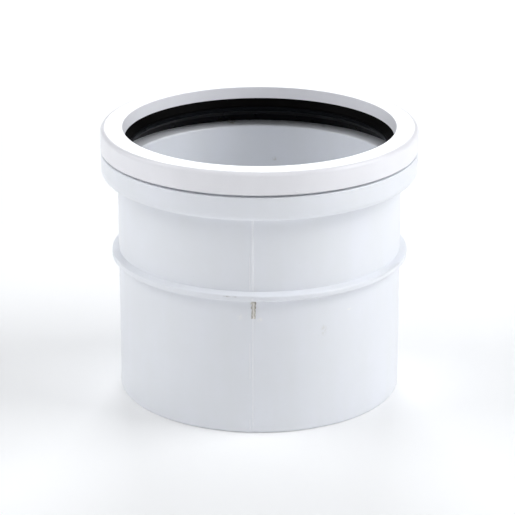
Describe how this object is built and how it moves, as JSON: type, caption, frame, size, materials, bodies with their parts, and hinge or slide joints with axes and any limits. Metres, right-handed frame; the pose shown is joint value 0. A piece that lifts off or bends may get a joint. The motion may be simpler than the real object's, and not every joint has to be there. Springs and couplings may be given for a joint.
{
  "type": "push fit coupling",
  "caption": "White pipe coupling with a plain socket below, a rubber ring-seal socket above under a snap-fit retaining cap, and a bead outside its centre stop.",
  "frame": {"origin": "centre of the lower end face, on the pipe's axis", "axes": "+Z along the pipe's axis, from the plain socket to the ring-seal socket; -Y is the front, where the mould's parting line shows"},
  "size_m": [0.131, 0.131, 0.1127],
  "materials": {
    "body": "moulded uPVC, satin gloss, cool white",
    "cap": "moulded uPVC, satin gloss, neutral white",
    "seal": "moulded rubber, lubricated on the lip"
  },
  "bodies": {
    "coupling": {"coupling_body": "body", "seal_ring": "seal"},
    "cap": {"retaining_cap": "cap"}
  },
  "joints": [
    {"name": "cap_lift", "type": "slide", "parent": "coupling", "child": "cap", "axis": [0, 0, 1], "range_m": [0, 0.03]}
  ]
}
